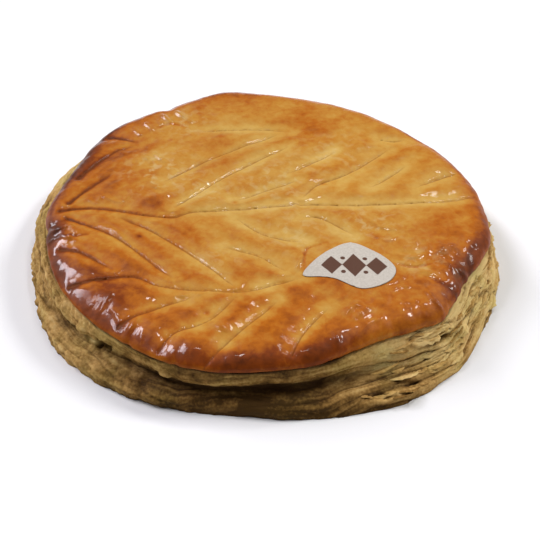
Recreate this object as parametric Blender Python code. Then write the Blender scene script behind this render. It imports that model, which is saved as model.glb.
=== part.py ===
"""A galette des rois: a round pie of browned puff pastry, about 27 cm across.

Its top is domed and scored with leaf veins, its side shows the stacked sheets of the
pastry, and a small paper label lies on the top. The frame has +Z up and its origin at
the middle of the underside.
"""

import math

import bmesh
import bpy
import numpy as np
from mathutils import Vector, geometry, noise

MM = 0.001

# Plan: directions in degrees from +X, widths in degrees, reaches in millimetres
RIM_RADIUS = 121.5 * MM
RIM_LOBES = (
    (8, 12, 2),
    (52, 30, -4),
    (102, 12, 7),
    (137, 14, 5),
    (162, 9, -1),
    (178, 8, 2),
    (218, 30, 3),
    (252, 15, 4.5),
    (297, 12, -5.5),
    (316, 7, 2.5),
    (333, 6, -2),
    (351, 8, 3.5),
)
BASE_RADIUS = 135 * MM
BASE_LOBES = (
    (30, 25, -3),
    (75, 18, -3),
    (115, 18, 1.5),
    (150, 18, 4.5),
    (188, 20, -2.5),
    (222, 24, 3),
    (264, 14, -5),
    (307, 16, 5),
    (352, 18, -4),
)
ROUND_STEPS = 160

# Heights of the top
CREST_HEIGHT = 31.5 * MM
DOME_RISE = 3 * MM
LIP_HEIGHT = 25.5 * MM
SHOULDER_WIDTH = 11 * MM
WAVE_HEIGHT = 1.1 * MM
WAVE_LENGTH = 38 * MM

# The cut veins: each is a curve through these points, in millimetres
LONG_VEINS = (
    ((-118, 0), (-96, 1), (-56, -9), (-37, -4), (19, 1), (92, 6), (120, 14)),
    ((-106, -62), (-72, -58), (-53, -67), (-15, -72), (6, -65), (18, -61)),
)
UPPER_VEINS = (
    ((-113, 5), (-103, 18), (-88, 34)),
    ((-110, 28), (-92, 54), (-78, 61)),
    ((-97, 74), (-84, 69), (-75, 63)),
    ((-59, 23), (-35, 45), (7, 72)),
    ((-52, -2), (-20, 32), (13, 58)),
    ((-18, 5), (1, 16), (19, 24)),
    ((-40, 76), (-4, 78), (14, 75)),
    ((12, 30), (28, 43), (41, 55)),
    ((20, 6), (29, 21), (46, 32), (72, 57)),
    ((58, 18), (68, 27), (81, 40)),
    ((85, 18), (92, 24), (110, 35)),
    ((66, 68), (76, 67), (84, 69)),
)
LOWER_VEINS = (
    ((-82, -8), (-64, -20), (-37, -45), (-15, -70)),
    ((-113, -6), (-85, -23), (-61, -48), (-49, -61)),
    ((-114, -32), (-98, -39), (-81, -53)),
    ((-77, -96), (-69, -90), (-54, -82), (-37, -75)),
    ((-55, -113), (-46, -101), (-30, -94), (-15, -76)),
    ((-32, -124), (-22, -112), (-12, -100), (6, -79)),
    ((12, -118), (20, -100), (32, -84)),
    ((-17, -10), (-1, -25), (19, -32)),
    ((-23, -36), (-5, -43), (11, -56)),
    ((19, -11), (31, -11), (49, -26)),
)
CUT_STEP = 5 * MM
CUT_HALF_WIDTH = 1.5 * MM
CUT_DEPTH = 1.6 * MM
CUT_FADE = 9 * MM
PUFF_HEIGHT = 1.2 * MM
PUFF_REACH = 10 * MM

# The grid of points that the top is triangulated on
SHOULDER_RINGS = (0.6 * MM, 2.2 * MM, 5 * MM, 9 * MM)
LATTICE_STEP = 7.5 * MM
CUT_CLEARANCE = 2.8 * MM
CUT_END_INSET = 1.2 * MM
MERGE_DISTANCE = 0.05 * MM

# The side, from the lip down
LIP_THICKNESS = 1.1 * MM
LIP_ROUNDING = 0.7 * MM
LIP_UNDERCUT = 2.4 * MM
LIP_CURL = 0.4 * MM
SIDE_TOP = 23.2 * MM
SHEETS = 8
SHEET_RELIEF = 1 * MM
FLARED_RELIEF = 2.2 * MM
SHEET_WANDER = 0.7 * MM
CRUMB_RELIEF = 1.6 * MM
BULGE_RELIEF = 2.2 * MM
BULGE_HEIGHT = 9 * MM
CREASE_HEIGHT = 12.5 * MM
CREASE_SPREAD = 2.6 * MM
CREASE_DEPTH = 4 * MM
UPRIGHT_RISE = 1.2 * MM
FLARE_POWER = 0.75
LEDGE_POWER = 4
FLARE_LOBES = ((332, 40), (80, 45))
LEDGE_LOBE = (170, 45)
SMALL_RELIEF_SHARE = 0.4
SHEET_WAVES = 6
CRUMB_WAVES = 14
BULGE_WAVES = 4
LOWEST_SIDE = 0.4 * MM
BOTTOM_INSET = 2.5 * MM

# The paper label
LABEL_CENTRE = Vector((44, -51)) * MM
LABEL_THICKNESS = 0.6 * MM
LABEL_GAP = 0.4 * MM
LABEL_CURVE_STEPS = 4
LABEL_RINGS = 3
# Its outline, in millimetres from its centre
LABEL_OUTLINE = (
    (24.5, -4),
    (21, 3.5),
    (12.5, 11.5),
    (2, 18),
    (-9, 11.5),
    (-18, 2.5),
    (-24.7, -8),
    (-15.5, -10.5),
    (-7.5, -12.8),
    (4.5, -19.7),
    (14, -17.8),
    (21.5, -12),
)

CRUST_COLOUR = (0.50, 0.22, 0.045, 1)
LAYERS_COLOUR = (0.36, 0.24, 0.10, 1)
PAPER_COLOUR = (0.75, 0.72, 0.66, 1)


def bell(angle, centre, width):
    """One smooth hump round the plan, 1 at its centre; centre and width in degrees."""
    apart = (math.degrees(angle) - centre + 180) % 360 - 180
    return math.exp(-((apart / width) ** 2))


def outline_radius(angle, mean_radius, lobes):
    return mean_radius + sum(reach * MM * bell(angle, centre, width) for centre, width, reach in lobes)


def rim_radius(angle):
    return outline_radius(angle, RIM_RADIUS, RIM_LOBES)


def base_radius(angle):
    return outline_radius(angle, BASE_RADIUS, BASE_LOBES)


def curve_point(before, start, end, after, t):
    """The point at share t from start to end on the Catmull-Rom curve through four points."""
    return 0.5 * (
        2 * start
        + (end - before) * t
        + (2 * before - 5 * start + 4 * end - after) * t**2
        + (3 * start - before - 3 * end + after) * t**3
    )


def smooth_curve(points, step):
    """Points about a step apart on the Catmull-Rom curve through the given ones."""
    knots = [Vector(point) * MM for point in points]
    knots = [2 * knots[0] - knots[1], *knots, 2 * knots[-1] - knots[-2]]
    curve = [knots[1]]
    for before, start, end, after in zip(knots, knots[1:], knots[2:], knots[3:]):
        pieces = max(1, round((end - start).length / step))
        curve += [curve_point(before, start, end, after, piece / pieces) for piece in range(1, pieces + 1)]
    return curve


CUTS = [smooth_curve(points, CUT_STEP) for points in LONG_VEINS + UPPER_VEINS + LOWER_VEINS]


def cut_segments():
    """The cuts' segments as arrays: starts, spans, and how deep each start and end is, from 0 to 1."""
    starts, spans, depths = [], [], []
    for cut in CUTS:
        lengths = [(b - a).length for a, b in zip(cut, cut[1:])]
        total = sum(lengths)
        along = [sum(lengths[:index]) for index in range(len(cut))]
        depth = [min(1, distance / CUT_FADE, (total - distance) / CUT_FADE) for distance in along]
        for index in range(len(cut) - 1):
            starts.append(cut[index])
            spans.append(cut[index + 1] - cut[index])
            depths.append((depth[index], depth[index + 1]))
    return np.array(starts), np.array(spans), np.array(depths)


CUT_STARTS, CUT_SPANS, CUT_DEPTHS = cut_segments()


def cut_relief(x, y):
    """(distance to the nearest cut, depth of the V-shaped groove there)."""
    offsets = np.array((x, y)) - CUT_STARTS
    share = (offsets * CUT_SPANS).sum(axis=1) / (CUT_SPANS**2).sum(axis=1)
    share = share.clip(0, 1)
    distance = np.hypot(*(offsets - CUT_SPANS * share[:, None]).T)
    depth = CUT_DEPTHS[:, 0] * (1 - share) + CUT_DEPTHS[:, 1] * share
    groove = CUT_DEPTH * depth * (1 - distance / CUT_HALF_WIDTH).clip(0, 1)
    return distance.min(), groove.max()


def top_height(x, y):
    """Height of the browned top: a dome that puffs up between the cuts and rolls down at the rim."""
    radius = math.hypot(x, y)
    edge = rim_radius(math.atan2(y, x))
    inward = min(max((edge - radius) / SHOULDER_WIDTH, 0), 1)
    shoulder = math.sqrt(1 - (1 - inward) ** 2)
    distance, groove = cut_relief(x, y)
    puff = PUFF_HEIGHT * (1 - math.exp(-((distance / PUFF_REACH) ** 2)))
    wave = WAVE_HEIGHT * noise.noise(Vector((x, y, 0)) / WAVE_LENGTH)
    dome = DOME_RISE * (1 - (radius / edge) ** 2)
    swell = dome + puff + wave - groove
    return LIP_HEIGHT + (CREST_HEIGHT - LIP_HEIGHT + swell) * shoulder


def round_angles(steps):
    return [2 * math.pi * step / steps for step in range(steps)]


def polar(radius, angle):
    return Vector((radius * math.cos(angle), radius * math.sin(angle)))


def held_inside(point):
    """The point, or the nearest one just inside the rim if it lies further out."""
    angle = math.atan2(point.y, point.x)
    return polar(min(point.length, rim_radius(angle) - CUT_END_INSET), angle)


def shifted(curve, offset):
    """The curve moved sideways, meeting the old one at both ends."""
    moved = []
    for index, point in enumerate(curve):
        before = curve[max(index - 1, 0)]
        after = curve[min(index + 1, len(curve) - 1)]
        sideways = (after - before).normalized().orthogonal()
        end = index in (0, len(curve) - 1)
        moved.append(held_inside(point + sideways * (0 if end else offset)))
    return moved


def lattice_points():
    """A triangular grid inside the shoulder, clear of the cuts."""
    points = []
    rows = int(RIM_RADIUS / LATTICE_STEP) + 2
    for row in range(-rows, rows + 1):
        y = row * LATTICE_STEP * math.sqrt(3) / 2
        for column in range(-rows, rows + 1):
            x = (column + row % 2 / 2) * LATTICE_STEP
            inside = math.hypot(x, y) < rim_radius(math.atan2(y, x)) - SHOULDER_WIDTH - LATTICE_STEP / 3
            if inside and cut_relief(x, y)[0] > CUT_CLEARANCE:
                points.append(Vector((x, y)))
    return points


def top_plan():
    """The top's triangles in plan: (points, faces, the points of the rim in order)."""
    angles = round_angles(ROUND_STEPS)
    points = [polar(rim_radius(angle), angle) for angle in angles]
    edges = [(step, (step + 1) % ROUND_STEPS) for step in range(ROUND_STEPS)]
    for inset in SHOULDER_RINGS:
        ring = [polar(rim_radius(angle) - inset, angle) for angle in angles]
        points += [point for point in ring if cut_relief(*point)[0] > CUT_CLEARANCE / 2]
    for cut in CUTS:
        for offset in (-CUT_HALF_WIDTH, 0, CUT_HALF_WIDTH):
            line = shifted(cut, offset)
            edges += [(len(points) + index, len(points) + index + 1) for index in range(len(line) - 1)]
            points += line
    points += lattice_points()
    inside_edges = 1
    made = geometry.delaunay_2d_cdt(points, edges, [], inside_edges, MERGE_DISTANCE)
    plan, faces, sources = made[0], made[2], made[3]
    rim = [next(i for i, source in enumerate(sources) if step in source) for step in range(ROUND_STEPS)]
    return plan, faces, rim


def flare_share(angle):
    return max(bell(angle, *lobe) for lobe in FLARE_LOBES)


def side_radius(angle, height):
    """Radius of the side without its sheets: upright with a crease, flared, or stepped as a ledge."""
    flare = flare_share(angle)
    ledge = bell(angle, *LEDGE_LOBE)
    down = min(max(1 - height / SIDE_TOP, 0), 1)
    upright = 1 / (1 + math.exp((height - CREASE_HEIGHT) / UPRIGHT_RISE + 2))
    flared = down**FLARE_POWER
    stepped = 1 - (1 - down) ** LEDGE_POWER
    plain = (1 - flare) * (1 - ledge)
    share = upright * plain + flared * flare + stepped * ledge * (1 - flare)
    inner = rim_radius(angle) - LIP_UNDERCUT / 2
    crease = CREASE_DEPTH * plain * math.exp(-(((height - CREASE_HEIGHT) / CREASE_SPREAD) ** 2))
    return inner + (base_radius(angle) - inner) * share - crease


def sheet_relief(angle, ring, height):
    """How far one ring of a sheet's edge stands out or back, and how far it wanders up or down."""
    around = Vector((math.cos(angle), math.sin(angle), 0))
    level = Vector((0, 0, ring * 3.7))
    relief = SHEET_RELIEF + (FLARED_RELIEF - SHEET_RELIEF) * flare_share(angle)
    side = 1 if ring % 2 else -1
    edge = side * relief * max(0, SMALL_RELIEF_SHARE + noise.noise(SHEET_WAVES * around + level))
    crumb = CRUMB_RELIEF * noise.noise(CRUMB_WAVES * around - level)
    up = Vector((0, 0, height / BULGE_HEIGHT))
    bulge = BULGE_RELIEF * noise.noise(BULGE_WAVES * around + up)
    wander = SHEET_WANDER * noise.noise(SHEET_WAVES * around + level / 2)
    return edge + crumb + bulge, wander


def side_rings():
    """Rings of points from just under the lip down to the flat underside."""
    angles = round_angles(ROUND_STEPS)
    lip_bottom = LIP_HEIGHT - LIP_THICKNESS
    rings = [
        [(*polar(rim_radius(a) - LIP_ROUNDING, a), lip_bottom) for a in angles],
        [(*polar(rim_radius(a) - LIP_UNDERCUT, a), lip_bottom - LIP_CURL) for a in angles],
    ]
    levels = 2 * SHEETS
    for level in range(levels):
        height = SIDE_TOP * (1 - (level + 0.3) / levels)
        ring = []
        for angle in angles:
            relief, wander = sheet_relief(angle, level, height)
            place = polar(side_radius(angle, height) + relief, angle)
            ring.append((*place, max(height + wander, LOWEST_SIDE)))
        rings.append(ring)
    rings.append([(*polar(base_radius(a) - BOTTOM_INSET, a), 0) for a in angles])
    return rings


def galette():
    """The whole pie as one closed solid: the scored top, the sheeted side and the flat underside."""
    plan, faces, rim = top_plan()
    mesh = bmesh.new()
    top = [mesh.verts.new((point.x, point.y, top_height(point.x, point.y))) for point in plan]
    for face in faces:
        mesh.faces.new([top[index] for index in face])
    ring = [top[index] for index in rim]
    for points in side_rings():
        lower = [mesh.verts.new(point) for point in points]
        for step in range(ROUND_STEPS):
            after = (step + 1) % ROUND_STEPS
            side = mesh.faces.new((ring[step], lower[step], lower[after], ring[after]))
            side.material_index = 1
        ring = lower
    centre = mesh.verts.new((0, 0, 0))
    for step in range(ROUND_STEPS):
        bottom = mesh.faces.new((centre, ring[(step + 1) % ROUND_STEPS], ring[step]))
        bottom.material_index = 1
    bmesh.ops.recalc_face_normals(mesh, faces=mesh.faces)
    return finished("galette", mesh, ("browned_crust", CRUST_COLOUR, 0.35), ("pale_layers", LAYERS_COLOUR, 0.75))


def label_edge():
    """The closed smooth curve round the label, from its centre."""
    count = len(LABEL_OUTLINE)
    points = [Vector(LABEL_OUTLINE[index % count]) * MM for index in range(count + 3)]
    edge = []
    for before, start, end, after in zip(points, points[1:], points[2:], points[3:]):
        for step in range(LABEL_CURVE_STEPS):
            edge.append(curve_point(before, start, end, after, step / LABEL_CURVE_STEPS))
    return edge


def label_sheet(mesh, rise):
    """One face of the label as rings of vertices, this far above the top, with its faces; returns its edge."""
    edge = label_edge()
    rings = []
    for ring in range(1, LABEL_RINGS + 1):
        plan = [LABEL_CENTRE + point * ring / LABEL_RINGS for point in edge]
        rings.append([mesh.verts.new((*point, top_height(*point) + rise)) for point in plan])
    centre = mesh.verts.new((*LABEL_CENTRE, top_height(*LABEL_CENTRE) + rise))
    for step in range(len(edge)):
        after = (step + 1) % len(edge)
        mesh.faces.new((centre, rings[0][step], rings[0][after]))
        for inner, outer in zip(rings, rings[1:]):
            mesh.faces.new((inner[step], outer[step], outer[after], inner[after]))
    return rings[-1]


def label():
    """The paper label: a thin slab that follows the top just clear of it."""
    mesh = bmesh.new()
    lower = label_sheet(mesh, LABEL_GAP)
    upper = label_sheet(mesh, LABEL_GAP + LABEL_THICKNESS)
    for step in range(len(lower)):
        after = (step + 1) % len(lower)
        mesh.faces.new((lower[step], lower[after], upper[after], upper[step]))
    bmesh.ops.recalc_face_normals(mesh, faces=mesh.faces)
    return finished("label", mesh, ("paper", PAPER_COLOUR, 0.6))


def finished(name, mesh, *finishes):
    """An object from the mesh, shaded smooth but for its creases, with one material for each finish."""
    bmesh.ops.triangulate(mesh, faces=mesh.faces)
    data = bpy.data.meshes.new(name)
    mesh.to_mesh(data)
    mesh.free()
    data.shade_smooth()
    data.set_sharp_from_angle(angle=math.radians(50))
    for finish in finishes:
        data.materials.append(material(*finish))
    made = bpy.data.objects.new(name, data)
    bpy.context.scene.collection.objects.link(made)
    return made


def material(name, colour, roughness):
    made = bpy.data.materials.new(name)
    made.use_nodes = True
    shader = made.node_tree.nodes["Principled BSDF"]
    shader.inputs["Base Color"].default_value = colour
    shader.inputs["Roughness"].default_value = roughness
    shader.inputs["Metallic"].default_value = 0
    return made


def centre_on_origin(objects, measured):
    """Moves the meshes in plan so that the measured object's box has its middle over the origin."""
    corners = np.array([vertex.co for vertex in measured.data.vertices])
    middle = (corners.min(axis=0) + corners.max(axis=0)) / 2
    for moved in objects:
        for vertex in moved.data.vertices:
            vertex.co.x -= middle[0]
            vertex.co.y -= middle[1]


def main():
    for leftover in list(bpy.data.objects):
        bpy.data.objects.remove(leftover)
    pie = galette()
    centre_on_origin((pie, label()), pie)


main()
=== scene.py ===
"""The looks of a galette des rois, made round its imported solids.

The browned crust, the sheeted side and the loose flakes are fine meshes that stand for the
solid "galette", and a printed paper tag stands for the solid "label".
"""

import math
import random

import bpy
import numpy as np
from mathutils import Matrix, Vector, noise


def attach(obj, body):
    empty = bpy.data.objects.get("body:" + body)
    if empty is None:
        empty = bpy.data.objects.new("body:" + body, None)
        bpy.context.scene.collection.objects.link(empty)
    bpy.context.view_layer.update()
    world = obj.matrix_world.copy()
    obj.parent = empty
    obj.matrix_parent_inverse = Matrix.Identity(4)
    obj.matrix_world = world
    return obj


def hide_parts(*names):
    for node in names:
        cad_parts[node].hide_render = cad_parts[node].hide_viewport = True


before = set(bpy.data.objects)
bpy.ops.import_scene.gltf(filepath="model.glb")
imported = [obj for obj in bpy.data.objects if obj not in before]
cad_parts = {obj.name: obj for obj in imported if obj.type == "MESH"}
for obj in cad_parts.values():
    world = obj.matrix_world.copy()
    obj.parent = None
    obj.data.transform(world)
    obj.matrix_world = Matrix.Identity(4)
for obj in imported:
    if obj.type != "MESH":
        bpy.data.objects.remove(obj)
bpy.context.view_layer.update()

MM = 0.001
# In millimetres, beyond any line of the cuts or the print
FAR = 9

# The solids' box is centred on the origin, which moves the plan that follows by this much
PLAN_SHIFT = np.array((1.4, -1.4)) * MM

# Plan: directions in degrees from +X, widths in degrees, reaches in millimetres
RIM_RADIUS = 121.5 * MM
RIM_LOBES = (
    (8, 12, 2), (52, 30, -4), (102, 12, 7), (137, 14, 5), (162, 9, -1), (178, 8, 2),
    (218, 30, 3), (252, 15, 4.5), (297, 12, -5.5), (316, 7, 2.5), (333, 6, -2), (351, 8, 3.5),
)
# Small nicks in the crust's edge: (direction, width, depth)
RIM_NICKS = ((121, 2.5, 2.2), (236, 1, 1.0), (249, 1, 0.9), (186, 1.5, 1.0), (304, 1.5, 1.0))
# Small waves of the crust's edge, higher round the uneven lobe: (direction, width)
RIM_WAVE = 0.6 * MM
RIM_WAVE_LENGTH = 9 * MM
RIM_RIPPLE_LENGTH = 4 * MM
RIM_WAVE_STEPS = 1441
UNEVEN_LOBE = (325, 28)
BASE_RADIUS = 135 * MM
BASE_LOBES = (
    (30, 25, -3), (75, 18, -3), (115, 18, 1.5), (150, 18, 4.5), (188, 20, -2.5), (222, 24, 3),
    (264, 14, -5), (307, 16, 5), (352, 18, -4),
)

# The top: its heights, its rolled shoulder and its cuts
CREST_HEIGHT = 31.5 * MM
DOME_RISE = 3 * MM
LIP_HEIGHT = 25.5 * MM
SHOULDER_WIDTH = 11 * MM
SHOULDER_ARC = 14.3 * MM
WAVE_HEIGHT = 1.1 * MM
WAVE_LENGTH = 38 * MM
CUT_STEP = 2.5 * MM
CUT_HALF_WIDTH = 0.9 * MM
CUT_DEPTH = 0.7 * MM
CUT_FADE = 9 * MM
RIM_CUT_FADE = 2 * MM
RIM_CUT_START = 112 * MM
PUFF_HEIGHT = 1.2 * MM
PUFF_REACH = 10 * MM

# The cut veins: each is a curve through these points, in millimetres; two long ones, then the
# upper side veins, then the lower ones
VEINS = (
    ((-118, 0), (-96, 1), (-56, -9), (-37, -4), (19, 1), (92, 6), (120, 14)),
    ((-106, -62), (-72, -58), (-53, -67), (-15, -72), (6, -65), (18, -61)),
    ((-113, 5), (-103, 18), (-88, 34)), ((-110, 28), (-92, 54), (-78, 61)),
    ((-97, 74), (-84, 69), (-75, 63)), ((-59, 23), (-35, 45), (7, 72)),
    ((-52, -2), (-20, 32), (13, 58)), ((-18, 5), (1, 16), (19, 24)),
    ((-40, 76), (-4, 78), (14, 75)), ((12, 30), (28, 43), (41, 55)),
    ((20, 6), (29, 21), (46, 32), (72, 57)), ((58, 18), (68, 27), (81, 40)),
    ((85, 18), (92, 24), (110, 35)), ((66, 68), (76, 67), (84, 69)),
    ((-82, -8), (-64, -20), (-37, -45), (-15, -70)),
    ((-113, -6), (-85, -23), (-61, -48), (-49, -61)), ((-114, -32), (-98, -39), (-81, -53)),
    ((-77, -96), (-69, -90), (-54, -82), (-37, -75)),
    ((-55, -113), (-46, -101), (-30, -94), (-15, -76)),
    ((-32, -124), (-22, -112), (-12, -100), (6, -79)), ((12, -118), (20, -100), (32, -84)),
    ((-17, -10), (-1, -25), (19, -32)), ((-23, -36), (-5, -43), (11, -56)),
    ((19, -11), (31, -11), (49, -26)),
)

# The crust's mesh and its finer relief
CRUST_CELLS = 300
CELL = 0.83 * MM
LUMP_HEIGHT = 0.55 * MM
LUMP_LENGTH = 14 * MM
PIMPLE_HEIGHT = 0.1 * MM
PIMPLE_LENGTH = 4.5 * MM
WRINKLE_HEIGHT = 0.22 * MM
WRINKLE_LENGTH = 4 * MM
VALLEY_DEPTH = 0.7 * MM
VALLEY_WIDTH = 5 * MM
BANK_HEIGHT = 0.08 * MM
BANK_DISTANCE = 2.6 * MM
BANK_WIDTH = 1.2 * MM
BLISTER_LENGTH = 9 * MM
CREASED_LENGTH = 22 * MM
LIP_WAVE = 0.7 * MM
LIP_WAVE_LENGTH = 110 * MM
LIP_WAVE_REACH = 6 * MM
# The rim slopes more gently here: (direction, width)
BEVEL_LOBE = (218, 34)
BEVEL_SHARE = 0.77
BEVEL_WIDTH = 14.5 * MM
BEVEL_POWER = 1.25
# Puffed streaks along the side veins: they rise away from the cuts and from the rim
STREAK_HEIGHT = 0.48 * MM
STREAK_WIDTH = 9 * MM
FINE_STREAK_WIDTH = 4.2 * MM
VEIN_LEAN = math.radians(38)
STREAK_CUT_GAP = (0.5 * MM, 5 * MM)
RIM_GAP = (3 * MM, 16 * MM)
# Where the leaf's upper half sets in, from front to back, and where its left end fades out
UPPER_HALF = (-30 * MM, 10 * MM)
LEFT_END = (-100 * MM, -20 * MM)
# Blistered places: (x, y, radius, height), in millimetres
BLISTERS = (
    (-112, -14, 14, 1.6), (-108, -40, 16, 0.8), (-84, -78, 20, 0.9), (100, -42, 22, 1.7),
    (112, -20, 14, 0.7), (70, -88, 26, 1.2), (30, -92, 16, 0.8), (-74, 84, 14, 0.9),
    (-62, 20, 22, 0.8), (-52, 96, 12, 0.9),
)
# Raised wrinkles of the glazed skin: (height, half width, points along it), in millimetres
WRINKLES = (
    (1.4, 1.6, ((-121, -8), (-119, -17), (-114, -18), (-108, -16), (-106, -22), (-109, -29))),
    (1, 1.3, ((-119, -25), (-112, -24), (-104, -28))),
    (0.6, 1, ((-92, -15), (-86, -18), (-78, -26))),
    (0.8, 1.3, ((-78, -71), (-85, -82), (-89, -88))),
    (0.7, 1.5, ((-79, -84), (-76, -89), (-74, -95))),
    (0.9, 1.6, ((-66, -92), (-70, -98), (-73, -103))), (0.8, 1.5, ((-90, -78), (-95, -80))),
    (0.5, 1.3, ((-62, -99), (-64, -106))), (0.5, 1, ((-48, -75), (-41, -74))),
    (0.5, 1, ((-37, -76), (-30, -72))), (0.5, 1, ((-36, -97), (-29, -94))),
    (0.9, 2, ((-26, -96), (-21, -101))), (1.5, 2.9, ((93, -41), (96, -38), (99, -36))),
    (0.9, 1.4, ((93, -46), (96, -50), (100, -55))),
    (1.2, 1.5, ((101, -50), (105, -56), (102, -66), (96, -77))),
    (1.1, 1.2, ((84, -72), (86, -78), (90, -82), (93, -86))),
    (1, 1.1, ((82, -88), (86, -89), (88, -94))), (0.7, 1.2, ((81, -87), (82, -95))),
    (0.6, 1.1, ((69, -81), (77, -80))), (0.6, 1, ((46, -104), (52, -96), (59, -92))),
    (0.6, 1, ((55, -104), (60, -100), (66, -98), (74, -95))), (0.9, 1.9, ((35, -103), (37, -114))),
    (0.8, 1.5, ((60, -106), (68, -104), (74, -103))), (0.8, 1.5, ((82, -99), (89, -97))),
    (1.3, 2.6, ((41, -88), (46, -83), (51, -86), (46, -91))), (0.4, 1, ((37, -78), (41, -76))),
    (1, 1.7, ((-64, 92), (-58, 83))), (0.9, 2, ((-57, 98), (-50, 88))),
    (0.8, 1.4, ((-50, 92), (-46, 85))), (0.8, 1.4, ((-80, 79), (-76, 72))),
    (0.9, 1.4, ((-73, 83), (-69, 76))), (0.8, 1.3, ((-66, 86), (-62, 80))),
    (0.9, 1.6, ((-72, 49), (-67, 42))), (0.9, 1.6, ((-66, 51), (-60, 43))),
    (0.6, 1.2, ((-88, 58), (-84, 52))), (0.5, 1, ((-96, 30), (-92, 34))),
    (0.5, 0.9, ((-105, 7), (-101, 9), (-96, 5), (-93, 10), (-87, 7), (-82, 5), (-77, 10))),
    (0.5, 1, ((-69, 26), (-65, 18), (-59, 15), (-56, 9))),
    (0.5, 1, ((-37, 12), (-32, 18), (-28, 23))), (0.4, 1, ((-50, 2), (-44, 7))),
    (0.8, 1.5, ((13, 5), (18, -3))), (0.5, 1, ((9, 26), (11, 31), (13, 39))),
    (0.4, 1, ((-9, -43), (-5, -45), (1, -46))), (0.4, 1, ((-27, -38), (-22, -42))),
    (0.6, 1.2, ((16, -55), (18, -49), (20, -44))), (0.5, 1, ((18, -32), (22, -37))),
    (0.6, 1.1, ((58, -14), (63, -19), (70, -21))), (0.5, 1, ((72, -30), (74, -39))),
    (0.5, 1, ((81, -29), (81, -37))), (0.5, 1.1, ((70, -42), (77, -45), (84, -43))),
    (0.5, 1.1, ((86, -30), (88, -38), (86, -45))), (0.4, 1, ((60, -27), (66, -31), (72, -27))),
    (0.5, 1.2, ((76, -58), (84, -56), (90, -60))), (0.5, 1.2, ((64, -72), (72, -68), (80, -70))),
)
WRINKLE_BREAK = 5 * MM
WRINKLE_BOOST = 1.5
# Darker creases between the blisters, partly browned and partly painted shade: (half width, points along
# it), in millimetres
DARK_CREASES = (
    (1.1, ((84, -60), (93, -65), (103, -70), (108, -66))),
    (1.3, ((113, -30), (109, -42), (110, -54), (103, -70))),
    (1.0, ((66, -97), (78, -95), (88, -90), (96, -80))),
    (0.8, ((70, -50), (78, -52), (87, -50))),
    (0.9, ((-118, -22), (-108, -25), (-98, -23))),
    (0.8, ((-66, 78), (-58, 82), (-50, 80))),
    (0.7, ((32, -33), (22, -38), (20, -52))),
)
# How much darker the creases are, partly browning and partly painted shade
CREASE_BROWN_AND_SHADE = 0.24
CREASE_CUT = 0.7 * MM
# The crust's edge under the lip: (inset from the rim, drop from the lip)
LIP_PROFILE = ((0.12 * MM, 0.5 * MM), (0.6 * MM, 1 * MM), (2.4 * MM, 1.2 * MM), (7 * MM, 1.2 * MM))

# The cuts' dark lines are wider on the leaf's left end, and the crust is browner beside them
LEFT_CUT_WIDTH = 1.0
LEFT_CUT_HALO = 0.2
LEFT_HALO_WIDTH = 2 * MM

# Small pricked holes: (x, y), in millimetres
PRICKS = ((-18, 4), (-69, -26), (-57, 65), (-22, 14), (33, 22), (60, -28), (-30, -88))
PRICK_RADIUS = 1.6 * MM
PRICK_DEPTH = 0.4 * MM
PRICK_BROWN = 0.22

# Browning of the crust, from 0, straw, to 1, burnt
BASE_BROWN = 0.33
MOST_BROWN = 0.92
STREAK_BROWN = 0.13
PATCH_BROWN = 0.13
PATCH_LENGTH = 26 * MM
MOTTLE_BROWN = 0.07
MOTTLE_LENGTH = 6 * MM
# Darker on and beside the raised wrinkles: partly browning, partly painted shade of the crumples
RIDGE_BROWN_AND_SHADE = 0.07
CUT_PALENESS = 0.22
LIP_PALENESS = 0.07
# The rim's browner band, and what each lobe adds to it: (direction, width, amount)
RIM_BAND_PLACE = 2.5 * MM
RIM_BAND_WIDTH = 6.8 * MM
RIM_BROWN = 0.35
RIM_BROWN_LOBES = ((50, 60, -0.2), (303, 24, -0.15), (226, 22, -0.13), (183, 18, -0.14))
# The far lip is browner: (direction, width)
BACK_LOBE = (95, 75)
BACK_LIP_BROWN = 0.34
# Places that are browner or paler, (x, y, radius, amount), in millimetres
BROWN_PLACES = (
    (-117, -18, 9, 0.36), (-110, -42, 14, 0.1), (-80, -58, 36, 0.1), (-84, -94, 12, 0.03),
    (-60, 66, 34, 0.06), (76, -34, 13, -0.08), (56, -18, 15, -0.1), (-20, -112, 22, 0.15),
    (24, -114, 22, 0.14), (62, -100, 18, -0.04), (100, -66, 18, 0.08), (117, -27, 12, 0.14),
    (107, -52, 13, 0.16), (92, -24, 18, 0.1), (-98, 42, 24, 0.14), (-82, 78, 18, 0.1),
    (-25, 116, 22, 0.16), (20, 95, 22, 0.06), (-80, -10, 55, 0.11), (-62, -82, 34, 0.12),
    (10, -95, 50, 0.07), (45, -82, 32, 0.09), (-100, 14, 26, 0.07), (-5, -12, 40, -0.07),
    (-58, 30, 18, -0.1), (10, 60, 40, -0.02), (-67, 45, 10, -0.12), (-34, 15, 14, -0.06),
    (9, 20, 18, -0.06), (42, 50, 22, -0.07), (23, 83, 12, 0.12), (-35, -91, 12, -0.05),
    (-21, -35, 6, 0.1), (-50, -5, 8, 0.12), (-62, -1, 6, 0.1), (-20, 35, 7, 0.07),
    (-15, -68, 7, 0.08), (106, 15, 16, 0.1), (82, -52, 9, -0.08), (-90, -60, 30, 0.09),
    (-94, 40, 28, 0.07),
)

# The egg wash thins out over this width of the crust's edge
DRY_EDGE_WIDTH = 5 * MM
DRY_EDGE_GLOSS = 0.12
# Places with less egg wash: (x, y, radius, share of the gloss taken away)
MATT_PLACES = (
    (78, 52, 50, 0.95), (20, 95, 40, 0.5), (-76, -34, 20, 0.5), (112, -5, 18, 0.6),
    (38, 30, 16, 0.7), (-29, -115, 9, 0.8), (118, -25, 12, 0.5), (111, -58, 13, 0.7),
    (104, -46, 10, 0.5), (-4, -94, 15, 0.85), (14, -106, 14, 0.8), (-93, -71, 7, 0.85),
    (-82, -75, 6, 0.5),
)

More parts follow.
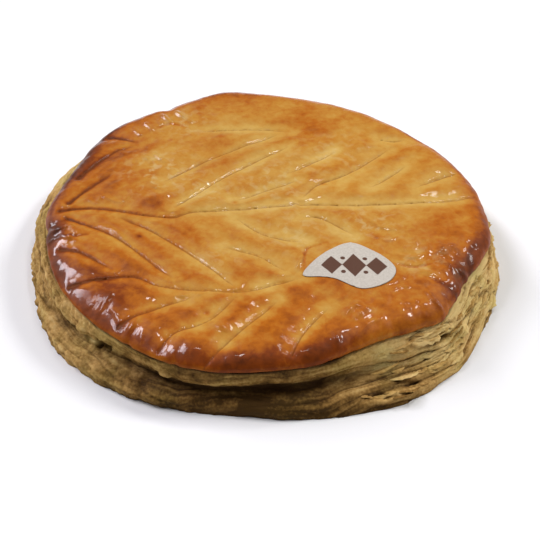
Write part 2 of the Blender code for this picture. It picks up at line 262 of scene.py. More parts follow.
# Places with pale flecks of dry skin: (x, y, radius, strength)
FLECKED_PLACES = (
    (-62, 32, 20, 1), (-50, 84, 16, 0.7), (-34, 15, 12, 0.7), (6, 22, 20, 0.8),
    (40, 52, 20, 0.5), (14, -24, 18, 0.6), (58, -16, 16, 0.8), (-25, -45, 12, 0.5),
    (84, -48, 14, 0.6),
)

# The side, from the lip down
SIDE_TOP = 23.6 * MM
LIP_UNDERCUT = 2.4 * MM
SIDE_STEPS = 1080
SIDE_LEVELS = 160
SIDE_ROWS = 84
SIDE_CIRCLE = 128 * MM
CREASE_HEIGHT = 11 * MM
CREASE_SPREAD = 3.1 * MM
CREASE_DEPTH = 4.6 * MM
# The crease is shallower here: (direction, width)
SHALLOW_LOBE = (217, 24)
SHALLOW_SHARE = 0.6
UPRIGHT_RISE = 1.2 * MM
FLARE_POWER = 0.75
LEDGE_POWER = 4
FLARE_LOBES = ((332, 40), (80, 45))
LEDGE_LOBE = (170, 45)
CRUMB_LOBE = (198, 48)
BULGE_RELIEF = 2.2 * MM
BULGE_HEIGHT = 9 * MM
BULGE_WAVES = 4
BOTTOM_INSET = 2.5 * MM
SHEET_PITCH = 1.25 * MM
TOP_PALENESS = 0.3
LIP_SHADE = 1.6 * MM
TUCK_DEPTH = 2.5 * MM
CRUMB_LENGTH = 5.5 * MM
GRAIN_LENGTH = 2.4 * MM
# Sizes of the side's relief and tones: (length round the pie, length down the side)
WARP = (34 * MM, 14 * MM)
FINE_WARP = (9 * MM, 6 * MM)
RIBBONS = (44 * MM, 6 * MM)
THIN_RIBBONS = (26 * MM, 2.3 * MM)
SHEET_DRIFT = (22 * MM, 9 * MM)
RAGS = (6 * MM, 3 * MM)
TEARS = (16 * MM, 5 * MM)
UPRIGHT_RIPPLES = (7 * MM, 40 * MM)
TONES = (26 * MM, 2.6 * MM)
FINE_TONES = (9 * MM, 1.2 * MM)
# Browning of the side, partly painted shade at the front and on the left: what each lobe adds (direction,
# width, amount)
SIDE_BROWN = 0.05
SIDE_BROWN_AND_SHADE_LOBES = ((267, 38, 0.72), (188, 40, 0.36))
# Low on the side the front is darker still, partly browning and partly painted shade
LOW_BROWN_AND_SHADE_LOBES = ((268, 38, 0.22), (234, 14, -0.03))
LOW_BROWN_AND_SHADE_HEIGHT = (11 * MM, 8 * MM)
HOLE_SLANT = 0.15
# Holes and open splits in the side, in degrees and millimetres:
# (direction, height, half length, half height, depth)
HOLES = (
    (227, 13.5, 7, 3.2, 3), (315.5, 17, 6, 2.6, 5), (296.5, 6, 6, 1.2, 2),
    (304, 6.5, 5, 1.1, 2), (340, 8, 8, 1.6, 3), (14, 12, 8, 1.8, 3.5), (58, 8, 9, 1.4, 3),
    (118, 11, 8, 1.5, 3), (152, 7, 6, 1.8, 3), (196, 6, 6, 1.6, 3),
)

# Torn tongues of pastry that stand out beside the holes: like them, but the last is the reach
TONGUES = (
    (220.5, 16, 4.5, 2.6, 2.2), (246, 14.5, 4, 1.2, 1.4), (309, 19, 5, 1.8, 1.4),
    (322, 13, 6, 2.2, 1.6),
)

# Loose flakes on the side: their lengths and widths lie in these ranges of millimetres
FLAKES = 240
FLAKE_STEPS = 10
FLAKE_THICKNESS = 0.45 * MM
FLAKE_LENGTHS = (6, 24)
FLAKE_WIDTHS = (0.6, 2.4)
FLAKE_ROOT = -0.8 * MM
FLAKE_LOWEST = 0.6 * MM

# The camera, as the photo was taken
CAMERA_TARGET = Vector((3.4, -34.1, 15)) * MM
CAMERA_DISTANCE = 750 * MM
CAMERA_PITCH = math.radians(40)
CAMERA_LENS = 91
CAMERA_SENSOR = 36

# The floor and the light
FLOOR_REACH = 4
FLOOR_COLOUR = (0.86, 0.86, 0.86)
SKY_STRENGTH = 0.15
# Lights: (name, direction towards it, how many degrees wide, strength, colour)
WHITE = (1, 1, 1)
LILAC = (0.92, 0.90, 1)
LIGHTS = (
    ("sky_left", (-0.78, 0.3, 0.55), 80, 0.3, WHITE),
    ("sky_right", (0.78, 0.3, 0.55), 80, 0.3, WHITE),
    ("window_low", (-0.65, 0.53, 0.55), 13, 0.62, LILAC),
    ("window", (-0.64, 0.33, 0.69), 14, 0.88, LILAC),
    ("window_high", (-0.54, 0.10, 0.84), 14, 0.72, LILAC),
    ("lamp_right", (0.7, 0.25, 0.67), 13, 1.25, WHITE),
    ("lamp_low_right", (0.88, 0.1, 0.46), 8, 0.35, WHITE),
    ("lamp_back_right", (0.3, 0.48, 0.82), 8, 0.45, WHITE),
    ("lamp_above", (-0.08, 0.15, 0.98), 7, 0.3, WHITE),
)

# The paper label
LABEL_CENTRE = Vector((44, -51)) * MM
LABEL_OUTLINE = (
    (24.5, -4), (21, 3.5), (12.5, 11.5), (2, 18), (-9, 11.5), (-18, 2.5), (-24.7, -8),
    (-15.5, -10.5), (-7.5, -12.8), (4.5, -19.7), (14, -17.8), (21.5, -12),
)
LABEL_EDGE_STEPS = 12
LABEL_CELLS = 100
# Upright creases in the paper: (place along it, rise), in millimetres
LABEL_CREASES = ((1.5, 0.22), (-12, 0.12), (17, 0.14))
LABEL_CREASE_WIDTH = 0.9
LABEL_GAP = 0.15 * MM
LABEL_THICKNESS = 0.3 * MM
# The printed ornament: lozenges (place along, half length, half height) and dots between them
LOZENGES = ((-9.5, 5.6, 7.2), (2.5, 6.4, 9.4), (14.5, 5.6, 7.2))
DOT_PLACES = (-3.4, 8.4)
DOT_OFFSET = 5.5
DOT_RADIUS = 1.3
ORNAMENT_DROP = 2

# Colours
CRUST_COLOURS = (
    (0.00, (0.62, 0.40, 0.115)),
    (0.20, (0.55, 0.315, 0.066)),
    (0.40, (0.49, 0.217, 0.029)),
    (0.58, (0.41, 0.115, 0.007)),
    (0.76, (0.21, 0.040, 0.003)),
    (1.00, (0.050, 0.010, 0.002)),
)
FLECK_COLOUR = (0.62, 0.48, 0.22)
CUT_COLOUR = (0.16, 0.042, 0.009)
LAYER_COLOURS = (
    (0.00, (0.70, 0.49, 0.20)),
    (0.35, (0.52, 0.31, 0.100)),
    (0.65, (0.27, 0.145, 0.038)),
    (0.84, (0.15, 0.076, 0.019)),
    (1.00, (0.070, 0.034, 0.008)),
)
RAW_TINT = (0.86, 0.97, 0.86)
# The painted shade in the side's folds, holes and crease and under the lip
FOLD_SHADE_COLOUR = (0.036, 0.015, 0.004)
PAPER_COLOURS = ((0.35, (0.47, 0.425, 0.36)), (0.65, (0.55, 0.50, 0.43)))
INK_COLOUR = (0.085, 0.030, 0.014)


def bell(angle, centre, width):
    """One smooth hump round the plan, 1 at its centre; centre and width in degrees."""
    apart = (np.degrees(angle) - centre + 180) % 360 - 180
    return np.exp(-((apart / width) ** 2))


def lobes_at(angle, lobes):
    """Sum of the lobes (direction, width, amount) at each angle."""
    return sum(amount * bell(angle, centre, width) for centre, width, amount in lobes)


def rim_radius(angle):
    return RIM_RADIUS + MM * lobes_at(angle, RIM_LOBES)


def base_radius(angle):
    return BASE_RADIUS + MM * lobes_at(angle, BASE_LOBES)


def rim_waves():
    """Small unevenness of the crust's edge round the plan, as a table by angle."""
    angle = np.linspace(0, 2 * math.pi, RIM_WAVE_STEPS)
    circle = flat_points(np.cos(angle), np.sin(angle)) * RIM_RADIUS
    waves = noise_at(circle, RIM_WAVE_LENGTH, 41) + 0.6 * noise_at(circle, RIM_RIPPLE_LENGTH, 42)
    waves *= 0.6 + 1.6 * bell(angle, *UNEVEN_LOBE)
    return angle, RIM_WAVE * waves - MM * lobes_at(angle, RIM_NICKS)


def crust_edge(angle):
    """The crust's edge: the rim with its small waves."""
    return rim_radius(angle) + np.interp(angle % (2 * math.pi), *RIM_WAVES)


def noise_at(points, length, seed=0):
    """Smooth noise from -1 to 1 at each point, with features of about this length."""
    start = Vector((31.7, -12.3, 7.9)) * seed
    return np.array([noise.noise(Vector(point) / length + start) for point in points.tolist()])


def flat_points(x, y):
    return np.column_stack((x, y, np.zeros(len(x))))


def polar(plan):
    """Distance from the centre and direction of each point of the plan."""
    return np.hypot(plan[:, 0], plan[:, 1]), np.arctan2(plan[:, 1], plan[:, 0])


RIM_WAVES = rim_waves()


def smooth_step(values, low, high):
    share = np.clip((values - low) / (high - low), 0, 1)
    return share * share * (3 - 2 * share)


def curve_point(before, start, end, after, t):
    """The point at share t from start to end on the Catmull-Rom curve through four points."""
    return 0.5 * (
        2 * start
        + (end - before) * t
        + (2 * before - 5 * start + 4 * end - after) * t**2
        + (3 * start - before - 3 * end + after) * t**3
    )


def smooth_curve(points, step):
    """Points about a step apart on the Catmull-Rom curve through the given ones."""
    knots = [Vector(point) * MM for point in points]
    knots = [2 * knots[0] - knots[1], *knots, 2 * knots[-1] - knots[-2]]
    curve = [knots[1]]
    for before, start, end, after in zip(knots, knots[1:], knots[2:], knots[3:]):
        count = max(1, round((end - start).length / step))
        curve += [curve_point(before, start, end, after, (piece + 1) / count) for piece in range(count)]
    return curve


def cut_segments():
    """The cuts' segments: starts, spans, and how deep each start and end is, 0 to 1, or 2 at the rim."""
    starts, spans, depths = [], [], []
    for points in VEINS:
        cut = smooth_curve(points, CUT_STEP)
        lengths = [(b - a).length for a, b in zip(cut, cut[1:])]
        total = sum(lengths)
        along = [sum(lengths[:index]) for index in range(len(cut))]
        ends = (cut[0], cut[-1])
        first, last = (RIM_CUT_FADE if end.length > RIM_CUT_START else CUT_FADE for end in ends)
        depth = [min(1, distance / first, (total - distance) / last) for distance in along]
        if cut[0].length > RIM_CUT_START:
            depth = [share * (1 + math.exp(-distance / CUT_FADE)) for share, distance in zip(depth, along)]
        for index in range(len(cut) - 1):
            starts.append(cut[index])
            spans.append(cut[index + 1] - cut[index])
            depths.append((depth[index], depth[index + 1]))
    return np.array(starts), np.array(spans), np.array(depths)


CUT_STARTS, CUT_SPANS, CUT_DEPTHS = cut_segments()
BLOCK = 2000


def nearest_cut(plan):
    """For each point of the plan: distance to the nearest cut, the point on it, and its depth share."""
    distance = np.empty(len(plan))
    nearest = np.empty((len(plan), 2))
    depth = np.empty(len(plan))
    lengths = (CUT_SPANS**2).sum(axis=1)
    for first in range(0, len(plan), BLOCK):
        block = slice(first, first + BLOCK)
        offsets = plan[block, None] - CUT_STARTS
        share = ((offsets * CUT_SPANS).sum(axis=2) / lengths).clip(0, 1)
        apart = np.hypot(*np.moveaxis(offsets - CUT_SPANS * share[..., None], 2, 0))
        best = apart.argmin(axis=1)
        row = np.arange(len(best))
        distance[block] = apart[row, best]
        share = share[row, best]
        nearest[block] = CUT_STARTS[best] + CUT_SPANS[best] * share[:, None]
        depth[block] = CUT_DEPTHS[best, 0] * (1 - share) + CUT_DEPTHS[best, 1] * share
    return distance, nearest, depth


def places(plan, spots):
    """Sum of round humps at given spots (x, y, radius, height) over the plan."""
    total = np.zeros(len(plan))
    for x, y, radius, height in spots:
        apart = np.hypot(plan[:, 0] - x * MM, plan[:, 1] - y * MM) / (radius * MM)
        total += height * np.exp(-(apart**2))
    return total


def disc_grid(cells):
    """A square grid laid on a disc: each vertex's share of the radius and angle, faces, edge loop."""
    line = np.linspace(-1, 1, cells + 1)
    a, b = np.meshgrid(line, line)
    a, b = a.ravel(), b.ravel()
    wide = np.abs(a) > np.abs(b)
    with np.errstate(divide="ignore", invalid="ignore"):
        angle = np.where(wide, math.pi / 4 * b / a, math.pi / 2 - math.pi / 4 * a / b)
    radius = np.where(wide, a, b)
    angle = np.where(radius == 0, 0, angle + math.pi * (radius < 0))
    index = np.arange((cells + 1) ** 2).reshape(cells + 1, cells + 1)
    corners = (index[:-1, :-1], index[:-1, 1:], index[1:, 1:], index[1:, :-1])
    faces = np.stack(corners, axis=2).reshape(-1, 4)
    edge = np.concatenate((index[0, :-1], index[:-1, -1], index[-1, :0:-1], index[:0:-1, 0]))
    return np.abs(radius), angle, faces, edge


def ring_faces(before, after):
    """Quads between two closed rings of vertices."""
    return np.stack((before, np.roll(before, -1), np.roll(after, -1), after), axis=1)


def fan_faces(ring, centre):
    """Triangles between a closed ring of vertices and one more."""
    return np.stack((ring, np.roll(ring, -1), np.full(len(ring), centre)), axis=1)


def add_object(name, data):
    made = bpy.data.objects.new(name, data)
    bpy.context.scene.collection.objects.link(made)
    return made


def make_mesh(name, points, faces, attributes, finish, node="galette"):
    """A smooth shaded object that stands for a node of the frame and rides with it."""
    data = bpy.data.meshes.new(name)
    data.from_pydata(points.tolist(), [], [list(map(int, face)) for face in faces])
    data.update()
    for attribute, values in attributes.items():
        layer = data.attributes.new(attribute, "FLOAT", "POINT")
        layer.data.foreach_set("value", np.ascontiguousarray(values, dtype=np.float32))
    data.shade_smooth()
    data.materials.append(finish)
    made = add_object(name, data)
    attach(made, "root")
    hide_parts(node)
    return made


def leaning(plan, lean, seed):
    """Noise drawn out along a direction that leans this much from +X."""
    x = plan[:, 0] * math.cos(lean) + plan[:, 1] * math.sin(lean)
    y = plan[:, 1] * math.cos(lean) - plan[:, 0] * math.sin(lean)
    broad = noise_at(flat_points(x / 2.6, y), STREAK_WIDTH, seed)
    return broad + 0.5 * noise_at(flat_points(x / 1.8, y), FINE_STREAK_WIDTH, seed + 10)


def streaks(plan):
    """Noise drawn out along the leaf's side veins: the puffed streaks of the crust."""
    upper = smooth_step(plan[:, 1], *UPPER_HALF)
    return leaning(plan, VEIN_LEAN, 7) * upper + leaning(plan, -VEIN_LEAN, 8) * (1 - upper)


def ridge(plan, points, half_width):
    """A rounded ridge along a curve: near 1 on the curve, and lower towards its ends."""
    curve = smooth_curve(points, CUT_STEP)
    share = np.zeros(len(plan))
    for index, (start, end) in enumerate(zip(curve, curve[1:])):
        span = np.array(end - start)
        offset = plan - np.array(start)
        along = (offset @ span / (span @ span)).clip(0, 1)
        apart = np.hypot(*(offset - along[:, None] * span).T) / (half_width * MM)
        fade = math.sqrt(math.sin(math.pi * (index + 0.5) / (len(curve) - 1)))
        share = np.maximum(share, fade * np.exp(-(apart**2)))
    return share


def wrinkle_height(plan, widened=1):
    """Height of the raised wrinkles over the plan, in millimetres."""
    return sum(height * ridge(plan, points, width * widened) for height, width, points in WRINKLES)


def crease_share(plan, widened=1):
    """1 on the darker creases, falling to 0 beside them."""
    return np.max([ridge(plan, points, width * widened) for width, points in DARK_CREASES], axis=0)


def pricked(plan, amount):
    """Sum of small round spots of this amount at the pricked holes."""
    return places(plan, [(x, y, PRICK_RADIUS / MM, amount) for x, y in PRICKS])


def crust_height(plan, distance, depth, smooth_share):
    """Height of the crust over the plan; smooth_share takes the fine relief away, as under the label."""
    radius, angle = polar(plan)
    edge = crust_edge(angle)
    inward = edge - radius
    rounded = np.sqrt(1 - (1 - inward / SHOULDER_WIDTH).clip(0, 1) ** 2)
    gentle = 1 - (1 - inward / BEVEL_WIDTH).clip(0, 1) ** BEVEL_POWER
    shoulder = rounded + BEVEL_SHARE * bell(angle, *BEVEL_LOBE) * (gentle - rounded)
    spots = flat_points(*plan.T)
    groove = CUT_DEPTH * depth * (1 - distance / CUT_HALF_WIDTH).clip(0, 1)
    groove += VALLEY_DEPTH * depth * np.exp(-((distance / VALLEY_WIDTH) ** 2))
    bank = BANK_HEIGHT * depth * np.exp(-(((distance - BANK_DISTANCE) / BANK_WIDTH) ** 2))
    puff = PUFF_HEIGHT * (1 - np.exp(-((distance / PUFF_REACH) ** 2)))
    wave = WAVE_HEIGHT * noise_at(spots, WAVE_LENGTH)
    blister = places(plan, BLISTERS) * MM * np.abs(noise_at(spots, BLISTER_LENGTH, 1))
    lumps = LUMP_HEIGHT * noise_at(spots, LUMP_LENGTH, 2)
    lumps += PIMPLE_HEIGHT * noise_at(spots, PIMPLE_LENGTH, 3)
    creased = (noise_at(spots, CREASED_LENGTH, 4) + 0.3).clip(0, 1)
    wrinkles = -WRINKLE_HEIGHT * creased * np.abs(noise_at(spots, WRINKLE_LENGTH, 6))
    broken = 0.9 + 0.4 * noise_at(spots, WRINKLE_BREAK, 10)
    wrinkles += WRINKLE_BOOST * MM * wrinkle_height(plan) * broken
    wrinkles -= CREASE_CUT * crease_share(plan)
    dome = DOME_RISE * (1 - (radius / edge) ** 2)
    puffed = STREAK_HEIGHT * streaks(plan) * smooth_step(distance, *STREAK_CUT_GAP)
    puffed *= smooth_step(inward, *RIM_GAP)
    fine = bank - groove + blister + lumps + puffed + wrinkles - pricked(plan, PRICK_DEPTH)
    crest = CREST_HEIGHT + dome + puff + wave + fine * (1 - smooth_share)
    return LIP_HEIGHT + (crest - LIP_HEIGHT) * shoulder


def label_edge():
    """The label's edge as a table: its distance from the label's centre by angle."""
    count = len(LABEL_OUTLINE)
    points = [Vector(LABEL_OUTLINE[index % count]) for index in range(count + 3)]
    edge = []
    for knots in zip(points, points[1:], points[2:], points[3:]):
        edge += [curve_point(*knots, share) * MM for share in np.arange(LABEL_EDGE_STEPS) / LABEL_EDGE_STEPS]
    radius, angle = polar(np.array(edge))
    angle = angle % (2 * math.pi)
    order = angle.argsort()
    return angle[order], radius[order]


def label_reach(angle):
    return np.interp(angle % (2 * math.pi), *LABEL_EDGE, period=2 * math.pi)


def label_share(plan):
    """1 under the label, falling to 0 a little outside it."""
    radius, angle = polar(plan - np.array(LABEL_CENTRE))
    return 1 - smooth_step(radius - label_reach(angle), -1 * MM, 4 * MM)


LABEL_EDGE = label_edge()


def crust(finish):
    """The browned top: the scored dome, the rolled shoulder and the lip, closed underneath."""
    share, angle, faces, edge = disc_grid(CRUST_CELLS)
    rim = crust_edge(angle)
    flat = rim - SHOULDER_WIDTH
    along = share * (flat + SHOULDER_ARC)
    turn = ((along - flat) / SHOULDER_ARC).clip(0, 1) * math.pi / 2
    radius = np.where(along < flat, along, flat + SHOULDER_WIDTH * np.sin(turn))
    plan = np.column_stack((radius * np.cos(angle), radius * np.sin(angle)))

    # Vertices close to a cut are moved onto it, so that the grooves' bottoms are clean lines
    distance, nearest, _ = nearest_cut(plan)
    snapped = (distance < CELL / 2) & (rim - radius > 3 * MM)
    plan[snapped] = nearest[snapped]
    distance, _, depth = nearest_cut(plan)
    smooth_share = label_share(plan)
    height = crust_height(plan, distance, depth, smooth_share)
    radius, direction = polar(plan)
    inward = crust_edge(direction) - radius
    lip = noise_at(flat_points(np.cos(angle), np.sin(angle)), LIP_WAVE_LENGTH, 5)
    height += LIP_WAVE * lip * np.exp(-inward / LIP_WAVE_REACH)
    points = np.column_stack((plan + PLAN_SHIFT, height))

    rows = [points]
    all_faces = list(faces)
    ring = edge
    count = len(points)
    for inset, drop in LIP_PROFILE:
        outer = rim[edge] - inset
        row = np.column_stack((outer * np.cos(angle[edge]), outer * np.sin(angle[edge])))
        rows.append(np.column_stack((row + PLAN_SHIFT, height[edge] - drop)))
        lower = np.arange(len(edge)) + count
        all_faces.extend(ring_faces(lower, ring))
        ring = lower
        count += len(edge)
    rows.append([(*PLAN_SHIFT, LIP_HEIGHT - LIP_PROFILE[-1][1])])
    all_faces.extend(fan_faces(ring, count)[:, ::-1])
    points = np.vstack(rows)

    under = len(points) - len(plan)
    left = left_share(plan)
    # How brown the crust is, with painted shade in its creases and round its raised wrinkles
    browning_and_shade = crust_browning_and_shade(plan, distance, inward)
    browning_and_shade += LEFT_CUT_HALO * left * depth * np.exp(-((distance / LEFT_HALO_WIDTH) ** 2))
    browning_and_shade = np.concatenate((browning_and_shade, np.tile(browning_and_shade[edge], len(LIP_PROFILE)), [0.5]))
    lines = depth * (1 - smooth_share) * (0.6 + 0.4 * left)
    gloss = (1 - places(plan, MATT_PLACES)) * edge_gloss(plan, inward)
    attributes = {
        "brown": browning_and_shade.clip(0, MOST_BROWN),
        "cut": np.append(distance / MM / (1 + LEFT_CUT_WIDTH * left), [FAR] * under),
        "cut_depth": np.append(lines, [0] * under),
        "gloss": np.append(gloss, [0] * under).clip(0, 1),
        "flecks": np.append(places(plan, FLECKED_PLACES), [0] * under).clip(0, 1),
    }
    return make_mesh("crust", points, all_faces, attributes, finish)


def edge_gloss(plan, inward):
    """The egg wash thins out at the crust's edge, less so on the gently sloping rim."""
    width = DRY_EDGE_WIDTH * (1 - 0.8 * bell(polar(plan)[1], *BEVEL_LOBE))
    return DRY_EDGE_GLOSS + (1 - DRY_EDGE_GLOSS) * smooth_step(inward / width, 0.15, 1)


def left_share(plan):
    """1 at the leaf's left end, falling to 0 before its middle."""
    return 1 - smooth_step(plan[:, 0], *LEFT_END)


def crust_browning_and_shade(plan, distance, inward):
    """How brown the crust is, with painted shade in its creases and round its raised wrinkles."""
    spots = flat_points(*plan.T)
    angle = polar(plan)[1]
    blotch = STREAK_BROWN * streaks(plan) * smooth_step(inward, *RIM_GAP)
    blotch += PATCH_BROWN * noise_at(spots, PATCH_LENGTH, 8)
    blotch += MOTTLE_BROWN * noise_at(spots, MOTTLE_LENGTH, 9)
    paleness = CUT_PALENESS - 0.05 * smooth_step(plan[:, 1], 0, 60 * MM) - 0.12 * left_share(plan)
    blotch += paleness * (smooth_step(distance, 0.8 * MM, 9 * MM) - 0.5)
    band = np.exp(-(((inward - RIM_BAND_PLACE) / RIM_BAND_WIDTH) ** 2))
    brown = BASE_BROWN + places(plan, BROWN_PLACES) + pricked(plan, PRICK_BROWN)
    # Browner on and beside the raised wrinkles on the right: partly browning, partly painted shade of the
    # crumples
    brown += RIDGE_BROWN_AND_SHADE * wrinkle_height(plan, 2) * smooth_step(plan[:, 0], 40 * MM, 90 * MM)
    brown += blotch * (1 - 0.6 * band) + (RIM_BROWN + lobes_at(angle, RIM_BROWN_LOBES)) * band
    # The creases are darker: partly browning, partly painted shade
    brown += CREASE_BROWN_AND_SHADE * crease_share(plan, 1.3)
    brown -= LIP_PALENESS * np.exp(-inward / (1.3 * MM))
    brown += BACK_LIP_BROWN * bell(angle, *BACK_LOBE) * smooth_step(inward, 5.5 * MM, 3.2 * MM)
    return brown


def side_radius(angle, height):
    """Radius of the side without its sheets: upright with a crease, flared, or stepped as a ledge."""
    flare = flare_share(angle)
    ledge = bell(angle, *LEDGE_LOBE)
    down = (1 - height / SIDE_TOP).clip(0, 1)
    upright = 1 / (1 + np.exp((height - CREASE_HEIGHT) / UPRIGHT_RISE + 2))
    flared = down**FLARE_POWER
    stepped = 1 - (1 - down) ** LEDGE_POWER
    plain = (1 - flare) * (1 - ledge)
    share = upright * plain + flared * flare + stepped * ledge * (1 - flare)
    inner = rim_radius(angle) - LIP_UNDERCUT / 2
    crease = CREASE_DEPTH * plain * crease_depth_share(angle)
    crease = crease * np.exp(-(((height - CREASE_HEIGHT) / CREASE_SPREAD) ** 2))
    return inner + (base_radius(angle) - inner) * share - crease


def crease_depth_share(angle):
    """How deep the side's crease is round the pie, from 0 to 1."""
    return 1 - SHALLOW_SHARE * bell(angle, *SHALLOW_LOBE)


def flare_share(angle):
    return np.maximum(*(bell(angle, *lobe) for lobe in FLARE_LOBES))


def side_profile(angle):
    """Radius, height and run of the side at equal steps down it: a row a step, a column an angle."""
    level = np.linspace(SIDE_TOP, 0, SIDE_LEVELS)[:, None]
    points = flat_points(np.cos(angle) * BULGE_WAVES, np.sin(angle) * BULGE_WAVES)
    bulge = np.empty((SIDE_LEVELS, len(angle)))
    for row, height in enumerate(level[:, 0]):
        points[:, 2] = height / BULGE_HEIGHT
        bulge[row] = noise_at(points, 1)
    radius = side_radius(angle[None, :], level) + BULGE_RELIEF * bulge
    height = np.broadcast_to(level, radius.shape)
    steps = np.hypot(np.diff(radius, axis=0), np.diff(height, axis=0))
    run = np.vstack((np.zeros(len(angle)), np.cumsum(steps, axis=0)))
    even_run = np.linspace(0, 1, SIDE_ROWS)[:, None] * run[-1]
    even = [
        np.column_stack([np.interp(*column) for column in zip(even_run.T, run.T, values.T)])
        for values in (radius, height)
    ]
    return *even, even_run


def folds(angle, height, run):
    """For each point of the side: how far it stands out, how much painted shade it takes in folds, holes,
    the crease and under the lip, and its tone.
    """
    shape = run.shape
    direction = np.broadcast_to(angle, shape).ravel()
    flare = flare_share(direction)
    ledge = bell(direction, *LEDGE_LOBE)
    crumbly = bell(direction, *CRUMB_LOBE)
    plain = (1 - flare) * (1 - ledge)
    x = np.cos(direction) * SIDE_CIRCLE
    y = np.sin(direction) * SIDE_CIRCLE
    down = run.ravel()
    height = height.ravel()

    def stretched(size, seed, shift=0):
        """Noise with features of this length round the side and down it."""
        around, along = size
        return noise_at(np.column_stack((x / around, y / around, (down + shift) / along)), 1, seed)

    def relief(everywhere, flared, ledged):
        """Metres of relief, from the millimetres everywhere, on the flare and on the ledge."""
        return (everywhere + flared * flare + ledged * ledge) * MM

    # Rounded folds between creases, broad and thin
    warp = 2.4 * MM * stretched(WARP, 31) + 0.7 * MM * stretched(FINE_WARP, 32)
    ribbon = stretched(RIBBONS, 33, 1.6 * warp)
    thin = stretched(THIN_RIBBONS, 40, 1.6 * warp)
    crease = np.exp(-((ribbon / 0.07) ** 2)) + 0.4 * np.exp(-((thin / 0.06) ** 2))
    stand = relief(0.5, 2.1, 0.7) * (np.sqrt((np.abs(ribbon) / 0.42).clip(0, 1)) - 0.6)
    stand += relief(0.12, 0.6, 0.3) * (np.sqrt((np.abs(thin) / 0.42).clip(0, 1)) - 0.6)

    # Edges of the sheets, ragged and torn in places
    step = ((down + 2.2 * warp) / SHEET_PITCH + 0.9 * stretched(SHEET_DRIFT, 34)) % 1
    ragged = 0.5 + 0.5 * stretched(RAGS, 35)
    torn = (stretched(TEARS, 36) + 0.35).clip(0, 1)
    stand += relief(0.15, 0.8, 0.5) * (step**1.5 - 0.4) * (0.3 + ragged) * torn

    # Crumbs, grains and upright ripples
    points = np.column_stack((x, y, down))
    lumps = np.abs(noise_at(points, CRUMB_LENGTH, 37))
    grains = noise_at(points, GRAIN_LENGTH, 38)
    stand += (0.2 + 1.8 * crumbly) * MM * (lumps - 0.3) + (0.12 + 0.45 * crumbly) * MM * grains
    stand += 0.7 * MM * (plain * stretched(UPRIGHT_RIPPLES, 39) - ledge)

    # Painted shade: in the creases, under the sheets' torn edges, just under the lip and along the recessed
    # crease
    painted_shade = crease * (0.25 + 0.45 * flare + 0.3 * ledge)
    painted_shade += smooth_step(step, 0.3, 0) * torn * (0.2 + 0.5 * flare + 0.4 * ledge)
    painted_shade += plain * np.exp(-((down / LIP_SHADE) ** 2))
    shade = np.exp(-(((height - CREASE_HEIGHT) / (0.9 * CREASE_SPREAD)) ** 2))
    painted_shade += 1.1 * plain * crease_depth_share(direction) * shade
    # The holes sink in and take painted shade; the tongues stand out and lose it
    for *spot, depth in HOLES:
        along, up = side_offsets(direction, height, spot, HOLE_SLANT)
        hole = smooth_step(-np.hypot(along, up) - 0.5 * lumps - 0.3 * grains, -1.25, -0.45)
        stand -= depth * MM * hole
        painted_shade += 0.5 * hole
    for *spot, reach in TONGUES:
        tongue = smooth_step(-np.hypot(*side_offsets(direction, height, spot)) - 0.5 * lumps, -1.25, -0.6)
        stand += reach * MM * tongue
        painted_shade *= 1 - tongue
    tone = 0.27 * stretched(TONES, 44, 1.6 * warp) + 0.16 * stretched(FINE_TONES, 45, 1.6 * warp)
    # Paler where the side stands out and browner where it sinks in: painted light and shade of the relief
    tone -= 0.12 * (stand / MM).clip(-1, 1)
    tone += TOP_PALENESS * flare * (0.5 - height / SIDE_TOP)
    return stand.reshape(shape), painted_shade.clip(0, 1).reshape(shape), tone.reshape(shape)


def side_offsets(direction, height, spot, slant=0):
    """How far each point of the side lies from a spot, along and up, in shares of its half sizes."""
    centre, level, half_length, half_height = spot
    apart = (np.degrees(direction) - centre + 180) % 360 - 180
    along = np.radians(apart) * SIDE_CIRCLE / (half_length * MM)
    up = (height - level * MM + slant * half_length * MM * along) / (half_height * MM)
    return along, up


def side_surface():
    """The side's angles, and its radius, height, painted shade and tone over rows and columns."""
    angle = np.linspace(0, 2 * math.pi, SIDE_STEPS, endpoint=False)
    radius, height, run = side_profile(angle)
    stand, painted_shade, tone = folds(angle, height, run)
    fall = np.gradient(height, axis=0)
    spread = np.gradient(radius, axis=0)
    length = np.hypot(fall, spread)
    tucked = smooth_step(run, 0, TUCK_DEPTH)
    radius = radius + stand * -fall / length * tucked
    height = height + stand * spread / length * tucked
    return angle, radius, height.clip(0.02 * MM, None), painted_shade, tone


